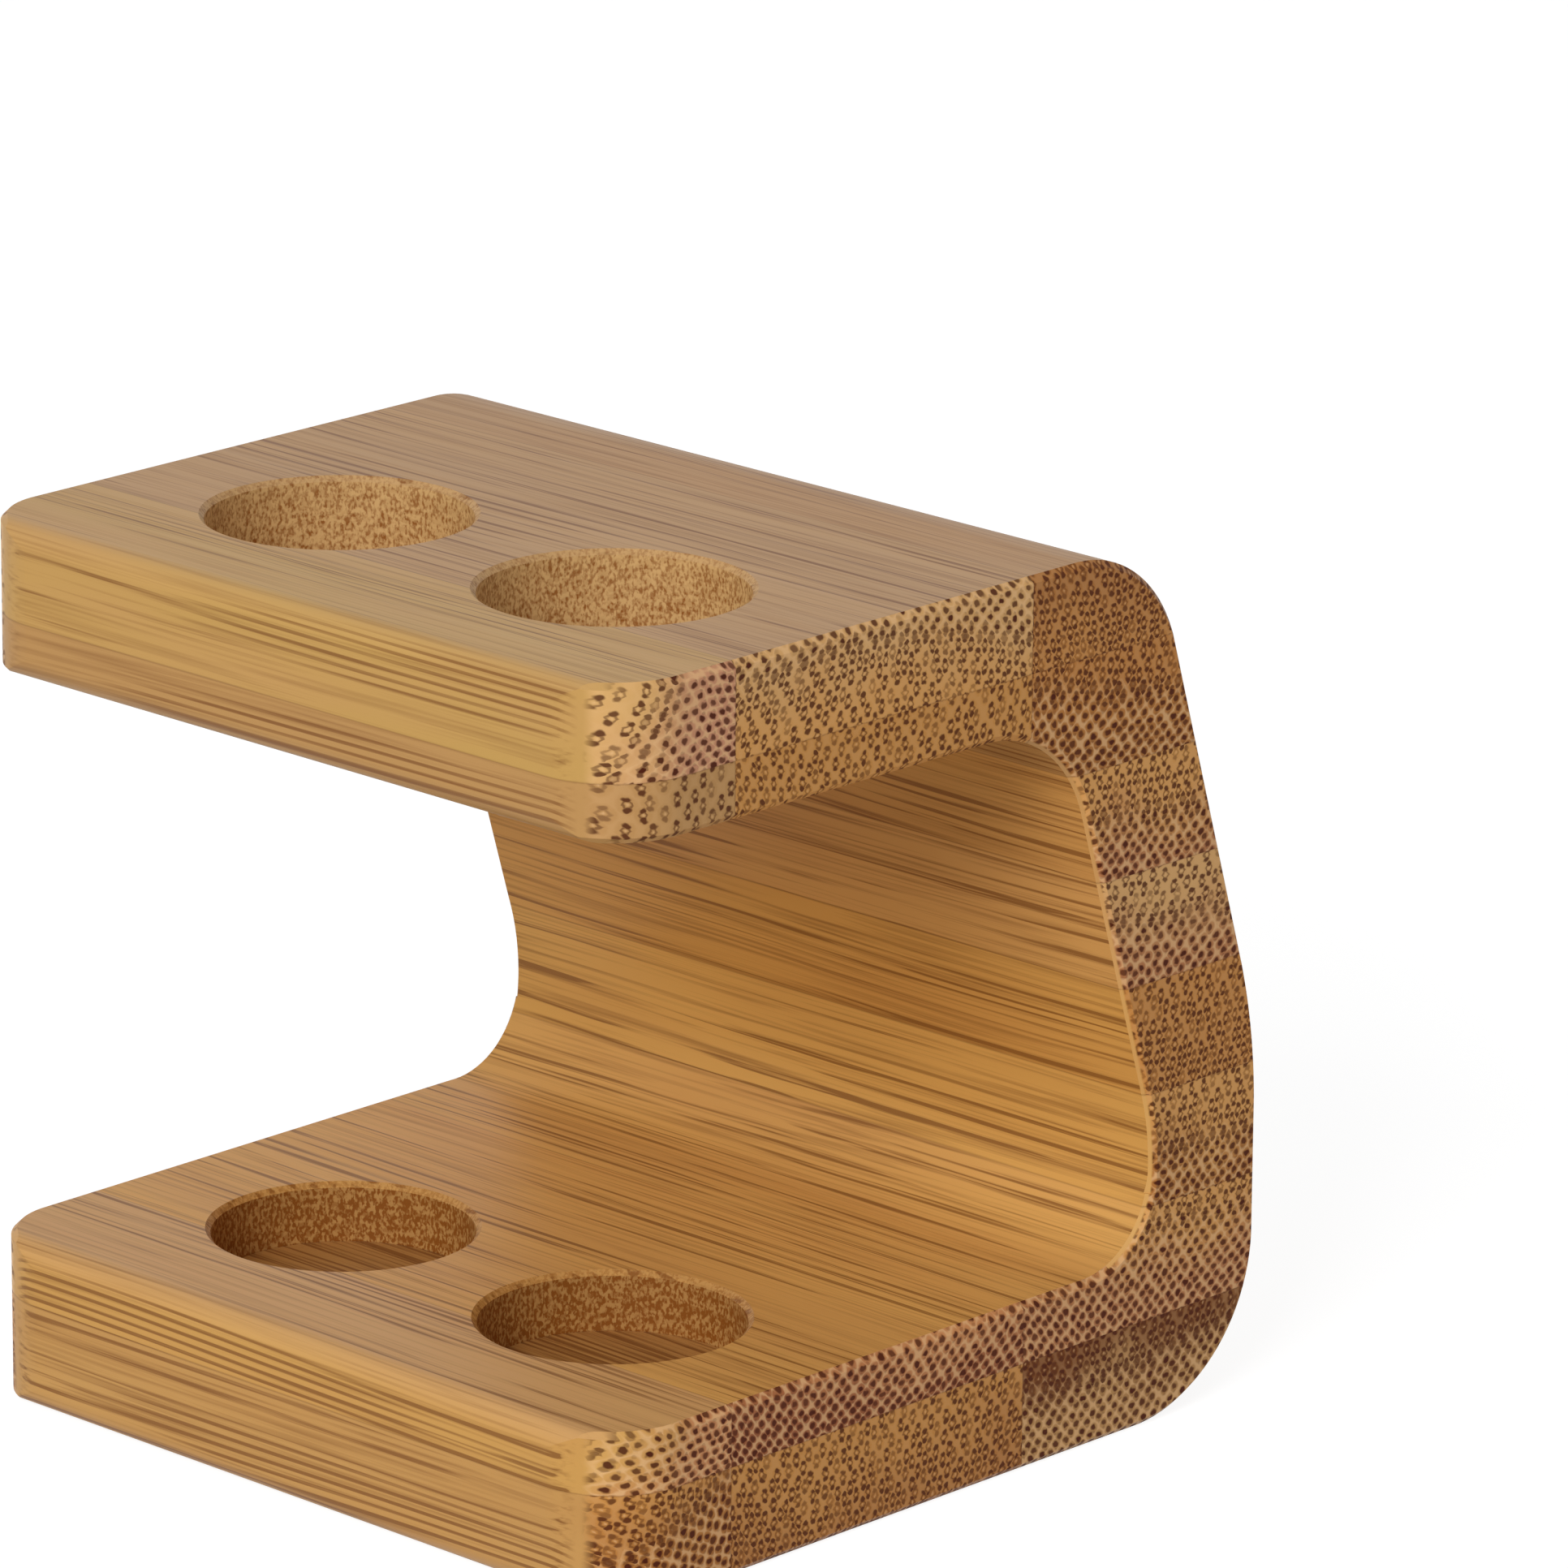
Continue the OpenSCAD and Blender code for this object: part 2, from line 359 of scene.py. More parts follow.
# %% [markdown]
# ## Depth in the wall of the culm
#
# The place is turned into two lengths: the depth from the pith side to the skin side,
# and the way across. The rows of bundles follow the round culm, about 60 mm in radius,
# so a parabola bends them a little. The depth as a share of the wall drives most of
# what follows: tone, spacing and size of the bundles.

# %% Depth and way across
from_pith = add(grain, "VectorMath", {0: wood_place, 1: given["Pith"]}, operation="SUBTRACT").outputs[0]
tangent = add(grain, "VectorMath", {0: (1, 0, 0), 1: given["Skin"]}, operation="CROSS_PRODUCT").outputs[0]
flat_depth = add(
    grain, "VectorMath", {0: from_pith, 1: given["Skin"]}, operation="DOT_PRODUCT"
).outputs["Value"]
across = add(grain, "VectorMath", {0: from_pith, 1: tangent}, operation="DOT_PRODUCT").outputs["Value"]
across_squared = add(grain, "Math", {0: across, 1: across}, operation="MULTIPLY").outputs[0]
culm_radius, half_strip = 60, 11.5
depth = add(
    grain, "Math", {0: across_squared, 1: 1 / (2 * culm_radius), 2: flat_depth}, operation="MULTIPLY_ADD"
).outputs[0]
share = add(grain, "Math", {0: depth, 1: given["Wall"]}, operation="DIVIDE").outputs[0]
print("rows bend by", round(half_strip**2 / (2 * culm_radius), 2), "mm over half a strip")

# %% [markdown]
# ## Rows of bundles
#
# Bundles stand in staggered rows. A Voronoi texture whose cells are a square lattice,
# read on axes turned by 45 degrees, gives just that, and a low randomness keeps it as
# regular as the real thing. The rows are about 0.7 mm apart on the pith side and 0.6 of
# that at the skin: their count grows with the square of the depth as well. In a row the
# bundles stand 0.9 mm apart, and in the front strips they fan out towards the pith.

# %% The lattice
unevenness = 0.34
two_rows = add(grain, "Math", {0: given["Rows"], 1: 2}, operation="MULTIPLY").outputs[0]
crowding = add(grain, "Math", {0: share, 1: 1 / 3, 2: 1}, operation="MULTIPLY_ADD").outputs[0]
crowded_depth = add(grain, "Math", {0: crowding, 1: depth}, operation="MULTIPLY").outputs[0]
rows = add(grain, "Math", {0: crowded_depth, 1: two_rows}, operation="DIVIDE").outputs[0]


def pitch(depth_share):
    """Distance in mm from bundle to bundle along a row at a share of the depth."""
    to_skin = add(grain, "Math", {0: 1, 1: depth_share}, operation="SUBTRACT").outputs[0]
    widened = add(
        grain, "Math", {0: to_skin, 1: given["Thinning"], 2: 1}, operation="MULTIPLY_ADD"
    ).outputs[0]
    return add(grain, "Math", {0: widened, 1: given["Spacing"]}, operation="MULTIPLY").outputs[0]


steps = add(grain, "Math", {0: across, 1: pitch(share)}, operation="DIVIDE").outputs[0]
rise = add(grain, "Math", {0: steps, 1: rows}, operation="ADD").outputs[0]
fall = add(grain, "Math", {0: steps, 1: rows}, operation="SUBTRACT").outputs[0]
lattice = add(grain, "CombineXYZ", {"X": rise, "Y": fall}).outputs[0]
spot = add(grain, "VectorMath", {0: lattice, 1: given["Phase"]}, operation="ADD").outputs[0]
cell = add(
    grain,
    "TexVoronoi",
    {"Vector": spot, "Scale": 1, "Randomness": unevenness},
    voronoi_dimensions="2D",
    feature="F1",
    distance="CHEBYCHEV",
).outputs
print("nodes so far:", len(grain.nodes))

# %% [markdown]
# ## The middle of the nearest bundle
#
# The Voronoi also tells where the middle of the cell is. Brought back to millimetres,
# it lets a bundle be drawn true in shape, and drawn as one kind or the other as a
# whole. Most have their strong caps on the pith and skin sides; in the front strips
# they stand across. No two are alike, so a fine noise pushes their outlines about.

# %% Place in millimetres from that middle
rough_scale, rough_reach = (1 / 10, 2.6, 2.6), (0.3, 0.3, 0)
along_row, over_rows = (0.5, 0.5, 0), (0.5, -0.5, 0)
off = add(grain, "VectorMath", {0: spot, 1: cell["Position"]}, operation="SUBTRACT").outputs[0]
off_steps = add(grain, "VectorMath", {0: off, 1: along_row}, operation="DOT_PRODUCT").outputs["Value"]
off_rows = add(grain, "VectorMath", {0: off, 1: over_rows}, operation="DOT_PRODUCT").outputs["Value"]
crowding_here = add(grain, "Math", {0: share, 1: 2 / 3, 2: 1}, operation="MULTIPLY_ADD").outputs[0]
row_step = add(grain, "Math", {0: two_rows, 1: crowding_here}, operation="DIVIDE").outputs[0]
off_depth = add(grain, "Math", {0: off_rows, 1: row_step}, operation="MULTIPLY").outputs[0]
off_share = add(grain, "Math", {0: off_depth, 1: given["Wall"]}, operation="DIVIDE").outputs[0]
middle = add(grain, "Math", {0: share, 1: off_share}, operation="SUBTRACT").outputs[0]
middle_steps = add(grain, "Math", {0: steps, 1: off_steps}, operation="SUBTRACT").outputs[0]
middle_across = add(grain, "Math", {0: middle_steps, 1: pitch(middle)}, operation="MULTIPLY").outputs[0]
off_across = add(grain, "Math", {0: across, 1: middle_across}, operation="SUBTRACT").outputs[0]
upright = add(grain, "CombineXYZ", {"X": off_across, "Y": off_depth}).outputs[0]
on_its_side = add(grain, "CombineXYZ", {"X": off_depth, "Y": off_across}).outputs[0]
exact = add(grain, "Mix", {0: given["Turned"], 4: upright, 5: on_its_side}, data_type="VECTOR").outputs[1]
rough_place = add(grain, "VectorMath", {0: wood_place, 1: rough_scale}, operation="MULTIPLY").outputs[0]
rough_noise = add(grain, "TexNoise", {"Vector": rough_place, "Scale": 1, "Detail": 1}).outputs["Color"]
rough_middle = add(grain, "VectorMath", {0: rough_noise, 1: noise_mean}, operation="SUBTRACT").outputs[0]
bundle = add(
    grain, "VectorMath", {0: rough_middle, 1: rough_reach, 2: exact}, operation="MULTIPLY_ADD"
).outputs[0]
print("nodes so far:", len(grain.nodes))

# %% [markdown]
# ## The shape of a bundle
#
# Towards the pith a bundle has two small caps of dark fibre, a third of a millimetre
# wide and 0.6 mm apart, joined by a thin ring round a pale middle. Towards the skin it
# is little more than one dark dot, 0.4 mm wide, and between close bundles only pale
# spots of ground are left. The sizes are those on the end face.

# %% Rings
ring_half_width, ring_half_height, ring_middle = 0.26, 0.32, 0.9
ring_edge, ring_line, ring_tone = 0.45, 0.12, 0.62
heart_edge, heart_middle, heart_tone = 0.45, 0.1, 0.65
ring_scale = (1 / ring_half_width, 1 / ring_half_height, 0)
folded = add(grain, "VectorMath", {0: bundle}, operation="ABSOLUTE").outputs[0]
reach = add(grain, "VectorMath", {0: folded, 1: ring_scale}, operation="DOT_PRODUCT").outputs["Value"]
ring_distance = add(grain, "Math", {0: reach, 1: ring_middle}, operation="SUBTRACT").outputs[0]
ring_width = add(grain, "Math", {0: ring_distance}, operation="ABSOLUTE").outputs[0]
ring = add(
    grain,
    "MapRange",
    {"Value": ring_width, "From Min": ring_edge, "From Max": ring_line, "To Max": ring_tone},
    interpolation_type="SMOOTHSTEP",
).outputs[0]
ring_heart = add(
    grain,
    "MapRange",
    {"Value": reach, "From Min": heart_edge, "From Max": heart_middle, "To Max": heart_tone},
    interpolation_type="SMOOTHSTEP",
).outputs[0]

# %% Caps
# source, offset, half width and half height in mm, strength
cap_forms = {
    "ring, above and below": (folded, -0.28, 0.18, 0.15, 0.9),
    "dot": (bundle, 0.02, 0.2, 0.175, 1.0),
    "its lesser cap": (bundle, -0.3, 0.12, 0.09, 0.3),
}
cap_edge, cap_heart = 1.4, 0.7  # as shares of its half sizes
caps = {}
for title, (source, offset, half_width, half_height, strength) in cap_forms.items():
    form = add(
        grain,
        "VectorMath",
        {0: source, 1: (1 / half_width, 1 / half_height, 0), 2: (0, offset / half_height, 0)},
        operation="MULTIPLY_ADD",
    ).outputs[0]
    length = add(grain, "VectorMath", {0: form}, operation="LENGTH").outputs["Value"]
    caps[title] = add(
        grain,
        "MapRange",
        {"Value": length, "From Min": cap_edge, "From Max": cap_heart, "To Max": strength},
        interpolation_type="SMOOTHSTEP",
    ).outputs[0]
ring_dark = add(grain, "Math", {0: ring, 1: caps["ring, above and below"]}, operation="MAXIMUM").outputs[0]
dot_dark = add(grain, "Math", {0: caps["dot"], 1: caps["its lesser cap"]}, operation="MAXIMUM").outputs[0]

# %% Pale spots, far from every middle
spot_edge, spot_middle = 0.38, 0.6
flat_off = add(grain, "VectorMath", {0: off, 1: (1, 1, 0)}, operation="MULTIPLY").outputs[0]
pushed_off = add(
    grain, "VectorMath", {0: rough_middle, 1: rough_reach, 2: flat_off}, operation="MULTIPLY_ADD"
).outputs[0]
off_length = add(grain, "VectorMath", {0: pushed_off}, operation="LENGTH").outputs["Value"]
pale_spots = add(
    grain,
    "MapRange",
    {"Value": off_length, "From Min": spot_edge, "From Max": spot_middle},
    interpolation_type="SMOOTHSTEP",
).outputs[0]
print("caps:", "; ".join(caps))

# %% [markdown]
# ## Which bundles stand where
#
# The depth at the middle of a bundle decides: rings towards the pith, dots towards the
# skin, and both in a narrow band between. A chance for each bundle makes some of them
# fainter, and rings most of all.

# %% Rings and dots
band = 0.14
faintest_dot, faintest_ring, faint_rings, spot_pallor = 0.8, 0.5, 0.4, 0.2
past_rings = add(grain, "Math", {0: middle, 1: given["Rings to"]}, operation="SUBTRACT").outputs[0]
as_ring = add(grain, "MapRange", {"Value": past_rings, "From Min": band, "From Max": -band}).outputs[0]
chance = add(grain, "SeparateColor", {"Color": cell["Color"]}).outputs["Red"]
dot_strength = add(grain, "MapRange", {"Value": chance, "To Min": faintest_dot}).outputs[0]
ring_strength = add(
    grain, "MapRange", {"Value": chance, "From Max": faint_rings, "To Min": faintest_ring}
).outputs[0]
strength = add(grain, "Mix", {0: as_ring, 2: dot_strength, 3: ring_strength}, data_type="FLOAT").outputs[0]
ring_part = add(grain, "Math", {0: as_ring, 1: 2}, operation="MULTIPLY", use_clamp=True).outputs[0]
dot_part = add(grain, "Math", {0: as_ring, 1: -2, 2: 2}, operation="MULTIPLY_ADD", use_clamp=True).outputs[0]
ring_drawn = add(grain, "Math", {0: ring_dark, 1: ring_part}, operation="MULTIPLY").outputs[0]
dot_drawn = add(grain, "Math", {0: dot_dark, 1: dot_part}, operation="MULTIPLY").outputs[0]
drawn = add(grain, "Math", {0: ring_drawn, 1: dot_drawn}, operation="MAXIMUM").outputs[0]
dark = add(grain, "Math", {0: drawn, 1: strength}, operation="MULTIPLY").outputs[0]
faint_spots = add(grain, "Math", {0: pale_spots, 1: spot_pallor}, operation="MULTIPLY").outputs[0]
heart_and_spots = add(grain, "Math", {0: ring_heart, 1: faint_spots}, operation="MAXIMUM").outputs[0]
pale = add(grain, "Mix", {0: as_ring, 2: pale_spots, 3: heart_and_spots}, data_type="FLOAT").outputs[0]
print("bundles blend over", 2 * band, "of the wall")

# %% [markdown]
# ## Which way a face looks
#
# The normal says whether a face is an end or a side: its share along x is 1 on an end
# and 0 on a long face. A point that lies close to a hole's axis is on neither. The two
# holes mirror each other, 21.1 mm apart, so one distance does for both.

# %% Place and normal in parts
parts = add(grain, "SeparateXYZ", {0: millimetres}).outputs
looks = add(grain, "SeparateXYZ", {0: place["Normal"]}).outputs
to_side = add(grain, "Math", {0: parts["X"]}, operation="ABSOLUTE").outputs[0]
either_side = add(grain, "CombineXYZ", {"X": to_side, "Y": parts["Y"]}).outputs[0]
hole_pitch, hole_row, rim_radius = 21.1, -10.9, 7.75
hole_middle = (hole_pitch / 2, hole_row, 0)
from_axis = add(grain, "VectorMath", {0: either_side, 1: hole_middle}, operation="DISTANCE").outputs["Value"]
outside = add(grain, "Math", {0: from_axis, 1: rim_radius}, operation="GREATER_THAN").outputs[0]
along_x = add(grain, "Math", {0: looks["X"]}, operation="ABSOLUTE").outputs[0]
facing = add(grain, "Math", {0: along_x, 1: outside}, operation="MULTIPLY").outputs[0]
print("holes at x of", hole_middle[0], "mm on either side")

# %% [markdown]
# ## Colour of the end grain
#
# The ground runs from the pith tone to the skin tone with the depth. A cloudy noise a
# few millimetres wide breaks it up, as sugar and steam stain the wood unevenly.

# %% End grain
cloud_scale, staining, heart_pallor = (1 / 30, 1 / 5, 1 / 5), 1.1, 0.62
pith_end, skin_end = 0.15, 0.95
cloud_place = add(
    grain, "VectorMath", {0: millimetres, 1: cloud_scale, 2: given["Phase"]}, operation="MULTIPLY_ADD"
).outputs[0]
clouds = add(grain, "TexNoise", {"Vector": cloud_place, "Scale": 1, "Detail": 3}).outputs["Fac"]
cloud_share = add(grain, "Math", {0: clouds, 1: mean_level}, operation="SUBTRACT").outputs[0]
cloudy_share = add(
    grain, "Math", {0: cloud_share, 1: staining, 2: share}, operation="MULTIPLY_ADD"
).outputs[0]
to_skin = add(
    grain,
    "MapRange",
    {"Value": cloudy_share, "From Min": pith_end, "From Max": skin_end},
    interpolation_type="SMOOTHSTEP",
).outputs[0]
ground = add(
    grain, "Mix", {0: to_skin, 6: given["Pith tone"], 7: given["Skin tone"]}, data_type="RGBA"
).outputs[2]
pale_share = add(grain, "Math", {0: pale, 1: heart_pallor}, operation="MULTIPLY").outputs[0]
lit_ground = add(grain, "Mix", {0: pale_share, 6: ground, 7: linear(cream)}, data_type="RGBA").outputs[2]
end_colour = add(grain, "Mix", {0: dark, 6: lit_ground, 7: linear(umber)}, data_type="RGBA").outputs[2]
print("nodes so far:", len(grain.nodes))

# %% [markdown]
# ## Colour along the fibres
#
# On the long faces the same bundles show as thin lines, paler than on the end because
# the plane cuts them at a slant. Only the hearts of the caps show, and the fine fibres
# split them. They come in groups: a noise drawn out 80 mm along the fibres and half a
# millimetre wide lets some through in full and adds a soft brown of its own. Round the
# browned place of a strip the rows of bundles show as close brown lines, 0.5 mm apart.
# Fibres of 0.2 mm and a silk of 0.4 mm give the sheen of a sanded strip. On a rounded
# corner the lines run out, so they fade where a face turns to x. Where a yellow strip
# looks up, a pale wash paints in sheen and light and veils its lines.

# %% Streaks, fibres and silk
streak_scale, fibre_scale, silk_scale = (1 / 80, 1.7, 1.7), (1 / 25, 5, 5), (1 / 12, 2.3, 2.3)
streak_edge, streak_full = 0.5, 0.68
streak_place = add(
    grain, "VectorMath", {0: wood_place, 1: streak_scale, 2: given["Phase"]}, operation="MULTIPLY_ADD"
).outputs[0]
streak_noise = add(grain, "TexNoise", {"Vector": streak_place, "Scale": 1, "Detail": 2}).outputs["Fac"]
streak = add(
    grain,
    "MapRange",
    {"Value": streak_noise, "From Min": streak_edge, "From Max": streak_full},
    interpolation_type="SMOOTHSTEP",
).outputs[0]
fibre_place = add(
    grain, "VectorMath", {0: wood_place, 1: fibre_scale, 2: given["Phase"]}, operation="MULTIPLY_ADD"
).outputs[0]
fibres = add(grain, "TexNoise", {"Vector": fibre_place, "Scale": 1, "Detail": 2}).outputs["Fac"]
silk_place = add(
    grain, "VectorMath", {0: wood_place, 1: silk_scale, 2: given["Phase"]}, operation="MULTIPLY_ADD"
).outputs[0]
silk = add(grain, "TexNoise", {"Vector": silk_place, "Scale": 1, "Detail": 1}).outputs["Fac"]

# %% Close brown lines
brown_strength, line_full = 0.8, 0.7
browned_scale = (1 / 26, 1 / 1.9, 1 / 1.9)
browned_edge, browned_core = 1, 0.6
row_turn = 12.1  # radians to a millimetre, so a line each 0.52 mm
from_browned = add(
    grain, "VectorMath", {0: millimetres, 1: given["Browned"]}, operation="SUBTRACT"
).outputs[0]
browned_reach = add(grain, "VectorMath", {0: from_browned, 1: browned_scale}, operation="MULTIPLY").outputs[0]
browned_length = add(grain, "VectorMath", {0: browned_reach}, operation="LENGTH").outputs["Value"]
browned = add(
    grain,
    "MapRange",
    {"Value": browned_length, "From Min": browned_edge, "From Max": browned_core},
    interpolation_type="SMOOTHSTEP",
).outputs[0]
row_angle = add(
    grain, "VectorMath", {0: wood_place, 1: (0, row_turn, row_turn)}, operation="DOT_PRODUCT"
).outputs["Value"]
row_wave = add(grain, "Math", {0: row_angle}, operation="SINE").outputs[0]
close_lines = add(
    grain, "MapRange", {"Value": row_wave, "From Max": line_full}, interpolation_type="SMOOTHSTEP"
).outputs[0]
browned_lines = add(grain, "Math", {0: close_lines, 1: brown_strength}, operation="MULTIPLY").outputs[0]
print("a brown line each", round(2 * math.pi / row_turn, 2), "mm")

# %% Lines of the caps
soft_brown, fibre_contrast, silk_contrast = 0.14, 1.5, 0.8
in_groups, everywhere, ring_fading, heart_power = 0.9, 0.8, 0.3, 3
gap_level, thread_level, thinnest, thickest, silk_level = 0.4, 0.6, 0.4, 1.5, 0.46
let_through = add(
    grain, "Math", {0: streak, 1: in_groups, 2: everywhere}, operation="MULTIPLY_ADD"
).outputs[0]
fainter_rings = add(grain, "Math", {0: as_ring, 1: -ring_fading, 2: 1}, operation="MULTIPLY_ADD").outputs[0]
cap_hearts = add(grain, "Math", {0: dark, 1: heart_power}, operation="POWER").outputs[0]
cut_along = add(grain, "Math", {0: cap_hearts, 1: fainter_rings}, operation="MULTIPLY").outputs[0]
split = add(
    grain,
    "MapRange",
    {
        "Value": fibres,
        "From Min": gap_level,
        "From Max": thread_level,
        "To Min": thinnest,
        "To Max": thickest,
    },
).outputs[0]
whole_lines = add(grain, "Math", {0: cut_along, 1: let_through}, operation="MULTIPLY").outputs[0]
thin_lines = add(grain, "Math", {0: whole_lines, 1: split}, operation="MULTIPLY").outputs[0]
soft_lines = add(
    grain, "Math", {0: streak, 1: soft_brown, 2: thin_lines}, operation="MULTIPLY_ADD"
).outputs[0]
lines = add(grain, "Mix", {0: browned, 2: soft_lines, 3: browned_lines}, data_type="FLOAT").outputs[0]
fine = add(grain, "Math", {0: fibres, 1: mean_level}, operation="SUBTRACT").outputs[0]
lines_and_fibres = add(
    grain, "Math", {0: fine, 1: fibre_contrast, 2: lines}, operation="MULTIPLY_ADD"
).outputs[0]
silky = add(grain, "Math", {0: silk, 1: silk_level}, operation="SUBTRACT").outputs[0]
with_silk = add(
    grain, "Math", {0: silky, 1: silk_contrast, 2: lines_and_fibres}, operation="MULTIPLY_ADD"
).outputs[0]

# %% Long faces
darkest, corner_edge, corner_full = 0.71, 0.4, 0.18
sheen_veiling, cloud_reach, cloud_tint = 1.2, 0.25, 0.3
along_faces = add(
    grain, "MapRange", {"Value": facing, "From Min": corner_edge, "From Max": corner_full}
).outputs[0]
# painted sheen and light: faces that look up are washed pale, and their lines are veiled by it
painted_sheen_share = add(
    grain, "Math", {0: looks["Z"], 1: given["Painted sheen"]}, operation="MULTIPLY", use_clamp=True
).outputs[0]
lines_under_sheen = add(grain, "Math", {0: painted_sheen_share, 1: -sheen_veiling, 2: 1}, operation="MULTIPLY_ADD").outputs[0]
not_at_corner = add(grain, "Math", {0: along_faces, 1: lines_under_sheen}, operation="MULTIPLY").outputs[0]
seen_lines = add(grain, "Math", {0: with_silk, 1: not_at_corner}, operation="MULTIPLY").outputs[0]
streaked = add(
    grain, "Math", {0: seen_lines, 1: given["Streaks"]}, operation="MULTIPLY", use_clamp=True
).outputs[0]
long_share = add(grain, "Math", {0: streaked, 1: darkest}, operation="MINIMUM").outputs[0]
tinted = add(
    grain,
    "MapRange",
    {"Value": cloud_share, "From Min": -cloud_reach, "From Max": cloud_reach, "To Max": cloud_tint},
).outputs[0]
own_ground = add(
    grain, "Mix", {0: tinted, 6: given["Long tone"], 7: given["Skin tone"]}, data_type="RGBA"
).outputs[2]
# painted sheen and light: the long ground is mixed towards a pale wash where the face looks up
long_ground_and_sheen = add(grain, "Mix", {0: painted_sheen_share, 6: own_ground, 7: linear(painted_sheen)}, data_type="RGBA").outputs[2]
long_colour = add(grain, "Mix", {0: long_share, 6: long_ground_and_sheen, 7: linear(bark)}, data_type="RGBA").outputs[2]

# %% [markdown]
# ## Bored walls
#
# A boring bit tears the fibres, so the wall of a hole or seat shows no clean dots but a
# speckle of torn fibre ends, pale and 0.2 mm wide, with the bundles faint behind it. The
# walls of a blind seat are darker, by a strip's wall darkening, and in the guide holes a
# painted shade darkens the wall the deeper it goes. A point is on such a wall where it
# lies close to a hole's axis and looks sideways, and the rim is frayed a little too.

# %% Torn fibres
torn_scale, torn_strength, bundles_behind = (5.6, 5.6, 3.4), 0.65, 0.4
torn_from, torn_full, fraying = 0.44, 0.62, 0.5
level_face, upright_face = 0.95, 0.5
guide_top, guide_end, guide_shade = 50, 43, 0.3
looks_up = add(grain, "Math", {0: looks["Z"]}, operation="ABSOLUTE").outputs[0]
sideways = add(
    grain, "MapRange", {"Value": looks_up, "From Min": level_face, "From Max": upright_face}
).outputs[0]
bored = add(grain, "Math", {0: sideways, 1: outside}, operation="SUBTRACT", use_clamp=True).outputs[0]
torn_place = add(grain, "VectorMath", {0: millimetres, 1: torn_scale}, operation="MULTIPLY").outputs[0]
torn_noise = add(grain, "TexNoise", {"Vector": torn_place, "Scale": 1, "Detail": 2}).outputs["Fac"]
torn = add(
    grain, "MapRange", {"Value": torn_noise, "From Min": torn_from, "From Max": torn_full}
).outputs[0]
behind = add(grain, "Math", {0: dark, 1: bundles_behind, 2: torn}, operation="MULTIPLY_ADD").outputs[0]
# painted shade: the walls of the guide holes darken from z 50 mm down to 43 mm
painted_deep_shade = add(
    grain,
    "MapRange",
    {"Value": parts["Z"], "From Min": guide_top, "From Max": guide_end, "To Max": guide_shade},
).outputs[0]
# darker seat walls, by a strip's own amount, added to the painted shade of the guide holes
wall_darkening = add(grain, "Math", {0: painted_deep_shade, 1: given["Wall darkening"]}, operation="ADD").outputs[0]
torn_and_shade = add(
    grain, "Math", {0: behind, 1: torn_strength, 2: wall_darkening}, operation="MULTIPLY_ADD", use_clamp=True
).outputs[0]
frayed = add(grain, "Mix", {0: fraying, 6: long_ground_and_sheen, 7: linear(torn_pale)}, data_type="RGBA").outputs[2]
bored_colour = add(grain, "Mix", {0: torn_and_shade, 6: frayed, 7: linear(torn_dark)}, data_type="RGBA").outputs[2]
print("nodes so far:", len(grain.nodes))

# %% [markdown]
# ## Ends and sides
#
# A face that looks along the fibres shows end grain, and the normal says which: its
# share along x. On the arris between an end and the back wall's front only the outer
# half does; its inner half shows no dots and is washed with cream, a painted highlight:
# the thin pale line down the mouth of the C.

# %% End grain where the face looks along x
end_from, end_full, forward = 0.42, 0.58, -0.25
ends = add(
    grain,
    "MapRange",
    {"Value": facing, "From Min": end_from, "From Max": end_full},
    interpolation_type="SMOOTHSTEP",
).outputs[0]
looks_forward = add(grain, "Math", {0: looks["Y"], 1: forward}, operation="LESS_THAN").outputs[0]
behind_seats = add(grain, "Math", {0: parts["Y"], 1: 0}, operation="GREATER_THAN").outputs[0]
on_back_wall = add(grain, "Math", {0: looks_forward, 1: behind_seats}, operation="MULTIPLY").outputs[0]
half_width, arris_middle, blend, arris_highlight = round(1000 * cad_high[0], 2), 0.2, 0.04, 0.15
inner_half = add(
    grain,
    "MapRange",
    {
        "Value": to_side,
        "From Min": half_width - arris_middle + blend,
        "From Max": half_width - arris_middle - blend,
    },
).outputs[0]
# painted highlight: the inner half of the arris down the mouth of the C is bare of dots and washed pale with
# cream
bare_highlit_arris = add(grain, "Math", {0: on_back_wall, 1: inner_half}, operation="MULTIPLY").outputs[0]
dotted = add(grain, "Math", {0: 1, 1: bare_highlit_arris}, operation="SUBTRACT").outputs[0]
dotted_ends = add(grain, "Math", {0: ends, 1: dotted}, operation="MULTIPLY").outputs[0]
end_share = add(grain, "Math", {0: dotted_ends, 1: outside}, operation="MULTIPLY").outputs[0]
highlit_ends = add(grain, "Math", {0: ends, 1: bare_highlit_arris}, operation="MULTIPLY").outputs[0]
highlight_share = add(grain, "Math", {0: highlit_ends, 1: arris_highlight}, operation="MULTIPLY").outputs[0]
long_or_highlight = add(
    grain, "Mix", {0: highlight_share, 6: long_colour, 7: linear(cream)}, data_type="RGBA"
).outputs[2]
end_or_long = add(grain, "Mix", {0: end_share, 6: long_or_highlight, 7: end_colour}, data_type="RGBA").outputs[2]
wood_colour = add(grain, "Mix", {0: bored, 6: end_or_long, 7: bored_colour}, data_type="RGBA").outputs[2]

# %% [markdown]
# ## Glue lines
#
# A film of glue between two strips is too thin to be a piece. It shows as a dark hair,
# 0.1 mm wide and broken, where a strip meets its neighbour.

